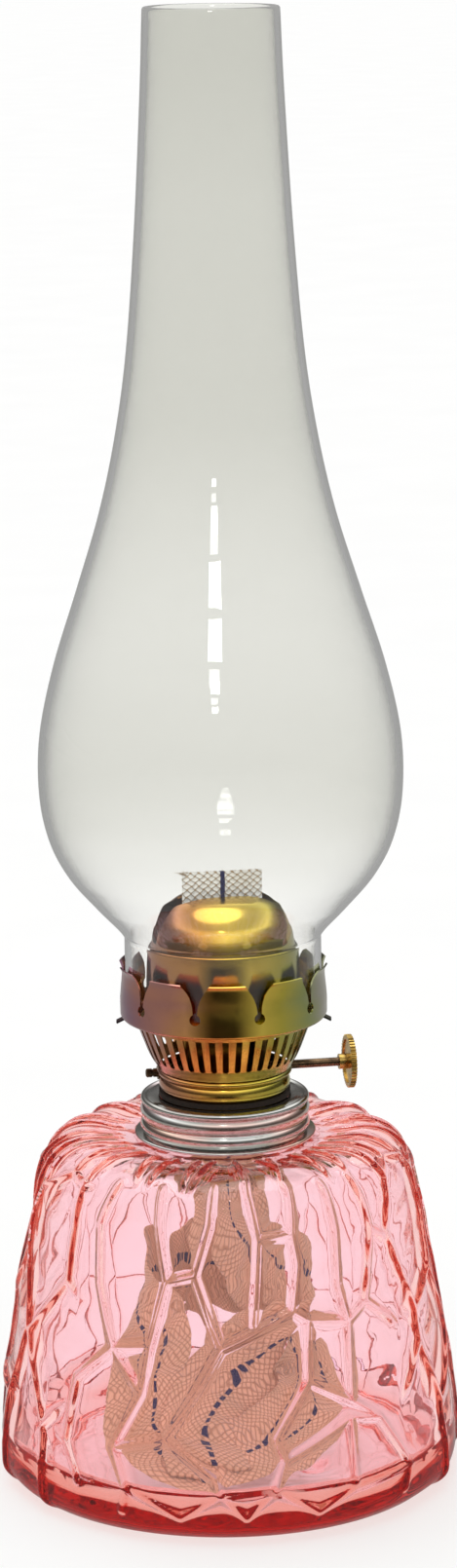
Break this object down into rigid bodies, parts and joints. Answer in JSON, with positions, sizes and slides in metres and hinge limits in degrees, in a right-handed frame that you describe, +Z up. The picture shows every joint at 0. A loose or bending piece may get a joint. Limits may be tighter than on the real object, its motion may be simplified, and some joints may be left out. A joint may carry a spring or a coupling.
{
  "type": "oil lamp",
  "caption": "Table oil lamp with a pink relief-glass font, a screw collar, a flat-wick burner with a pronged gallery and a clear pear-shaped chimney.",
  "frame": {"origin": "centre of the font's foot, on the table", "axes": "+Z up along the lamp's axis, +X along the wick-raiser shaft towards the knob"},
  "size_m": [0.126, 0.126, 0.398],
  "materials": {
    "pink_glass": "pressed cased pink glass, thick foot reads orange red, cracked-pattern raised ribs",
    "clear_glass": "thin clear blown glass, fire-polished rim",
    "gold_zinc": "yellow passivated plating with gold, orange, pink and olive tints",
    "silver_zinc": "clear passivated plating with faint pink, green and blue tints",
    "inner_sheet": "dull plated inner sheet",
    "knob_brass": "satin brass, knurled rim",
    "shaft_steel": "dark plated steel",
    "cork": "pressed cork",
    "seal_fibre": "dark fibre washer",
    "wick_cotton": "woven cotton with a dark blue centre thread"
  },
  "bodies": {
    "font": {"font_glass": "pink_glass"},
    "collar_ring": {"collar_gasket": "cork"},
    "collar": {"collar_cap": "silver_zinc"},
    "seal": {"burner_seal": "seal_fibre"},
    "burner": {"burner_base": "gold_zinc", "base_plate": "inner_sheet", "wick_tube": "gold_zinc", "vent_tube": "inner_sheet", "wheel_housing": "inner_sheet", "bush_left": "inner_sheet", "bush_right": "inner_sheet", "air_basket": "gold_zinc", "air_plate": "inner_sheet", "gallery": "gold_zinc", "gallery_tabs": "gold_zinc", "deflector_dome": "gold_zinc", "wick_tail": "wick_cotton"},
    "spindle": {"spindle_shaft": "shaft_steel", "feed_wheel_left": "inner_sheet", "feed_wheel_middle": "inner_sheet", "feed_wheel_right": "inner_sheet", "shaft_clip": "silver_zinc", "thumb_wheel": "knob_brass", "knob_rivet": "shaft_steel"},
    "wick": {"wick": "wick_cotton"},
    "chimney": {"chimney": "clear_glass"}
  },
  "joints": [
    {"name": "collar_rise", "type": "slide", "parent": "font", "child": "collar_ring", "axis": [0, 0, 1], "range_m": [0, 0.0081]},
    {"name": "collar_unscrew", "type": "hinge", "parent": "collar_ring", "child": "collar", "pos_m": [0, 0, 0.1], "axis": [0, 0, 1], "range_deg": [0, 720]},
    {"name": "burner_rise", "type": "slide", "parent": "collar", "child": "seal", "axis": [0, 0, 1], "range_m": [0, 0.0076]},
    {"name": "burner_unscrew", "type": "hinge", "parent": "seal", "child": "burner", "pos_m": [0, 0, 0.1], "axis": [0, 0, 1], "range_deg": [0, 900]},
    {"name": "wick_turn", "type": "hinge", "parent": "burner", "child": "spindle", "pos_m": [0, 0.0049, 0.1112], "axis": [-1, 0, 0], "range_deg": [-180, 90]},
    {"name": "wick_lift", "type": "slide", "parent": "burner", "child": "wick", "axis": [0, 0, 1], "range_m": [-0.012, 0.006], "deforming": ["wick_tail"]},
    {"name": "chimney_lift", "type": "slide", "parent": "burner", "child": "chimney", "axis": [0, 0, 1], "range_m": [0, 0.08]}
  ],
  "couplings": [
    {"joint": "collar_rise", "follows": "collar_unscrew", "m_per_rad": 0.00063662},
    {"joint": "burner_rise", "follows": "burner_unscrew", "m_per_rad": 0.00047746},
    {"joint": "wick_turn", "follows": "wick_lift", "rad_per_m": 259.74}
  ]
}
